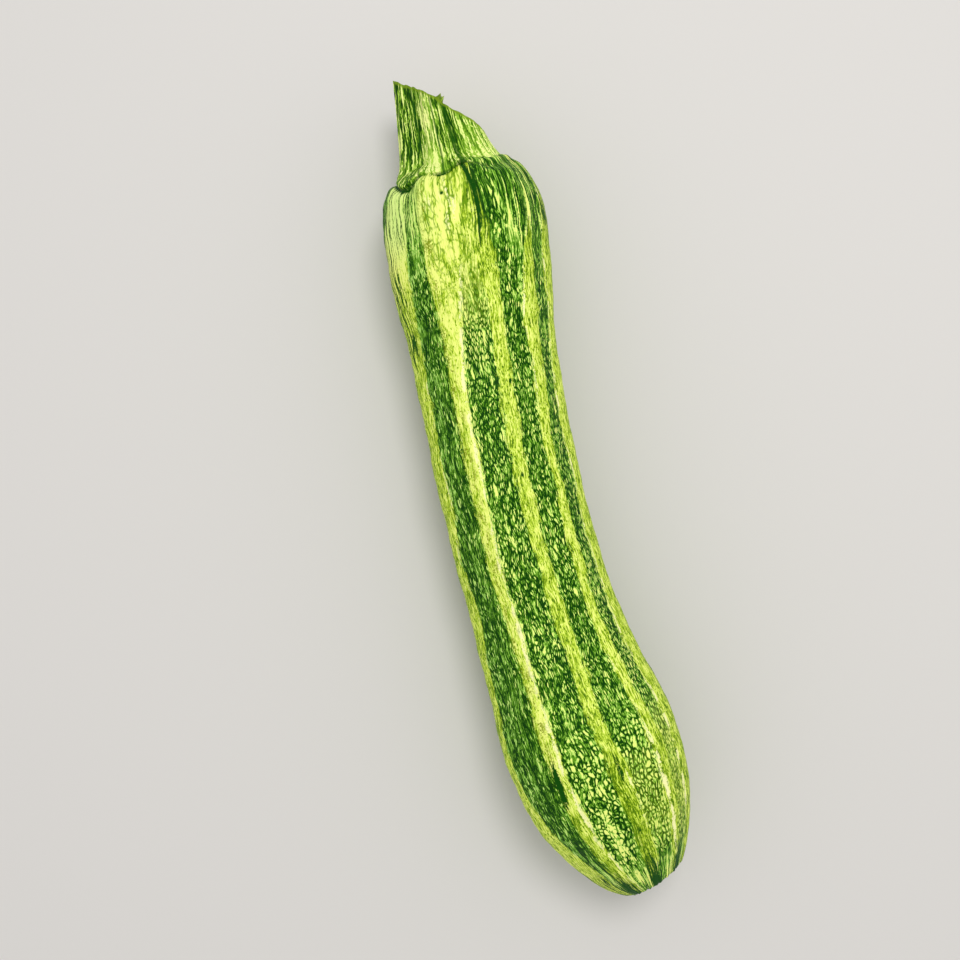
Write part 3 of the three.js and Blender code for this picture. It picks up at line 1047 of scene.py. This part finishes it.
def fibrous_stem_skin(settings):
    """Peduncle skin: firm, angular and fibrous, cut with a knife. It gives the eye fine lengthwise
    strands, deep green grooves, and a moist pale cut face with a ring of sap strands. Painted light and
    shade lie over its sides, with painted shade in the crease at its foot."""
    material, add = blank_material("peduncle_fibrous_cut")
    keys = ("groove", "bold", "streak", "sunny", "netted", "foot", "cut", "rim")
    read, place, flat = read_skin(add, keys)

    waver = add("TexNoise", {"Vector": place, "Scale": 0.2})
    grain = add("TexNoise", {"Vector": place, "Scale": 1.3})
    moved = pushed(add, waver, (1.3, 3.0, 1.3), flat)
    moved = pushed(add, grain, (0.9, 1.8, 0.0), moved)
    solid = pushed(add, waver, (1.3, 1.3, 1.3), place)
    drawn_out = add("VectorMath", (solid, (1.0, 0.06, 1.0)), operation="MULTIPLY")
    # Scales are per mm: strands are 0.4 mm across and ribbons 2 mm. Finer strands wouldn't show
    strand = add("TexNoise", {"Vector": drawn_out, "Scale": 2.4, "Detail": 3.0, "Roughness": 0.75})
    ribbon = add("TexNoise", {"Vector": drawn_out, "Scale": 0.5, "Detail": 1.0})
    # Veins 0.95 mm apart along the strands, 0.8 mm apart in a net near the foot, and bold ones at 1.8 mm
    lines = []
    for wide, stretch, edge in ((0.95, 0.11, 0.26), (0.8, 0.6, 0.32), (1.8, 0.09, 0.16)):
        spot = add("VectorMath", (moved, (1 / wide, stretch / wide, 0.0)), operation="MULTIPLY")
        line = add("TexVoronoi", {"Vector": spot, "Scale": 1.0}, **VEINS)
        lines.append(add("MapRange", (line, 0.03, edge)))
    long_veins, netted_veins, bold_veins = lines
    pits = add("Mix", {0: read["netted"], 2: long_veins, 3: netted_veins})
    pits = add("Math", (pits, bold_veins), operation="MULTIPLY")

    # Painted light and shade lift the tone on the stem's lit faces and lower it on its -X side
    tone = STEM_START
    for part, factor in (
        (strand, 2.2), (pits, 1.05), (ribbon, 0.4), (read["sunny"], 0.3), (read["groove"], -0.2),
    ):
        tone = add("Math", (part, factor, tone), operation="MULTIPLY_ADD")
    colour = add("ValToRGB", (tone,), stops=(
        (0.0, "#134200"), (0.25, "#508408"), (0.5, settings.skin), (0.72, "#b5dd50"), (0.95, "#f2fe96"),
    ))
    flesh = add("ValToRGB", (read["cut"],), stops=(
        (0.0, "#7f9630"), (0.08, "#c3d27e"), (0.3, "#b9cc78"), (0.38, "#dfe6ac"), (0.8, settings.flesh),
        (1.0, "#c9c98a"),
    ))
    bold = add("MapRange", (read["bold"], 0.35, 0.8, 0.0, 0.85))
    streak = add("MapRange", (strand, 0.5, 0.56))
    streak = add("Math", (streak, read["streak"]), operation="MULTIPLY")
    on_cut = add("MapRange", (read["cut"], 0.0, 0.04))
    # The dark at the foot's edge is painted shade in the crease
    for mask, over in (
        (bold, settings.groove), (streak, "#ece29c"), (read["foot"], "#16480a"), (read["rim"], "#7c9a20"),
        (on_cut, flesh),
    ):
        colour = add("Mix", {0: mask, 6: colour, 7: over}, data_type="RGBA")
    finish_skin(add, colour, 0.55, tone, 0.6, 0.2 * MM)
    return material


# ---- The stage, in metres ----

FLOOR_REACH = 3.0
LAMP_PLACE = (0.2, 0.25, 0.9)
LAMP_SIZE = 0.35
CAMERA_PLACE = (-1.9 * MM, 2.1 * MM)
CAMERA_TURN = -18  # degrees
CAMERA_SHIFT = -0.04  # of the frame's width
CAMERA_REACH = 20.0
SENSOR_WIDTH = 36.0  # mm, as the lens is
# The frame's width at the height of the fruit's middle sets the lens
MIDDLE_HEIGHT = 28 * MM
FRAME_WIDTH = 343.7 * MM


def matt_paper_floor(settings):
    """Seamless backdrop paper, uncoated. It gives the eye an even, pale ground with no gloss."""
    material, add = blank_material("backdrop_paper_matt")
    finish = {"Base Color": settings.floor, "Roughness": 0.9, "Specular IOR Level": 0.2}
    shader = add("BsdfPrincipled", finish)
    add("OutputMaterial", {"Surface": shader})
    return material


def build_stage(settings):
    """Floor, even light, one soft lamp and the camera looking straight down."""
    scene = bpy.context.scene
    corners = [(x * FLOOR_REACH, y * FLOOR_REACH, 0) for x, y in ((-1, -1), (1, -1), (1, 1), (-1, 1))]
    mesh = bpy.data.meshes.new("floor")
    mesh.from_pydata(corners, [], [(0, 1, 2, 3)])
    mesh.materials.append(matt_paper_floor(settings))
    floor = bpy.data.objects.new("floor", mesh)
    scene.collection.objects.link(floor)

    world = bpy.data.worlds.new("even_sky")
    world.use_nodes = True
    sky = world.node_tree.nodes["Background"]
    sky.inputs["Color"].default_value = linear("#ffffff")
    sky.inputs["Strength"].default_value = settings.sky_light
    scene.world = world

    lamp_data = bpy.data.lights.new("soft_lamp", "AREA")
    lamp_data.shape = "DISK"
    lamp_data.size = LAMP_SIZE
    lamp_data.energy = settings.lamp_power
    lamp = bpy.data.objects.new("soft_lamp", lamp_data)
    lamp.location = LAMP_PLACE
    lamp.rotation_euler = (-Vector(LAMP_PLACE)).to_track_quat("-Z", "Y").to_euler()
    scene.collection.objects.link(lamp)

    camera_data = bpy.data.cameras.new("camera")
    camera_data.sensor_width = SENSOR_WIDTH
    camera_data.lens = SENSOR_WIDTH * (settings.camera_height - MIDDLE_HEIGHT) / FRAME_WIDTH
    camera_data.shift_x = CAMERA_SHIFT
    camera_data.clip_end = CAMERA_REACH
    camera = bpy.data.objects.new("camera", camera_data)
    camera.location = (*CAMERA_PLACE, settings.camera_height)
    camera.rotation_euler = (0, 0, math.radians(CAMERA_TURN))
    scene.collection.objects.link(camera)
    scene.camera = camera
    scene.view_settings.view_transform = "Standard"


# ---- Operators, panel and registration ----


class ZUCCHINI_OT_fruit(bpy.types.Operator):
    """Build the fruit with its ribs, stripes and blossom scar"""

    bl_idname = "zucchini.fruit"
    bl_label = "Build fruit"

    def execute(self, context):
        build_fruit(context.scene.zucchini_fruit)
        return {"FINISHED"}


class ZUCCHINI_OT_stem(bpy.types.Operator):
    """Build the stem with its ridges and its cut face"""

    bl_idname = "zucchini.stem"
    bl_label = "Build stem"

    def execute(self, context):
        build_stem(context.scene.zucchini_stem, context.scene.zucchini_fruit)
        return {"FINISHED"}


class ZUCCHINI_OT_stage(bpy.types.Operator):
    """Build the floor, the light and the camera"""

    bl_idname = "zucchini.stage"
    bl_label = "Build stage"

    def execute(self, context):
        build_stage(context.scene.zucchini_stage)
        return {"FINISHED"}


class ZUCCHINI_PT_panel(bpy.types.Panel):
    """Lists the zucchini's pieces and their settings"""

    bl_idname = "ZUCCHINI_PT_panel"
    bl_label = "Zucchini"
    bl_space_type = "VIEW_3D"
    bl_region_type = "UI"
    bl_category = "Zucchini"

    def draw(self, context):
        for operator, group in (
            (ZUCCHINI_OT_fruit, context.scene.zucchini_fruit),
            (ZUCCHINI_OT_stem, context.scene.zucchini_stem),
            (ZUCCHINI_OT_stage, context.scene.zucchini_stage),
        ):
            box = self.layout.box()
            box.operator(operator.bl_idname)
            for key in group.bl_rna.properties.keys():
                if key not in ("rna_type", "name"):
                    box.prop(group, key)


SETTINGS = {
    "zucchini_fruit": ZucchiniFruitSettings,
    "zucchini_stem": ZucchiniStemSettings,
    "zucchini_stage": ZucchiniStageSettings,
}
CLASSES = (
    *SETTINGS.values(), ZUCCHINI_OT_fruit, ZUCCHINI_OT_stem, ZUCCHINI_OT_stage, ZUCCHINI_PT_panel,
)


def register():
    for cls in CLASSES:
        bpy.utils.register_class(cls)
    for name, group in SETTINGS.items():
        setattr(bpy.types.Scene, name, bpy.props.PointerProperty(type=group))


def unregister():
    for name in SETTINGS:
        delattr(bpy.types.Scene, name)
    for cls in reversed(CLASSES):
        bpy.utils.unregister_class(cls)


def main():
    """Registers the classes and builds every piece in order."""
    register()
    bpy.ops.zucchini.stage()
    bpy.ops.zucchini.fruit()
    bpy.ops.zucchini.stem()


if __name__ == "__main__":
    main()
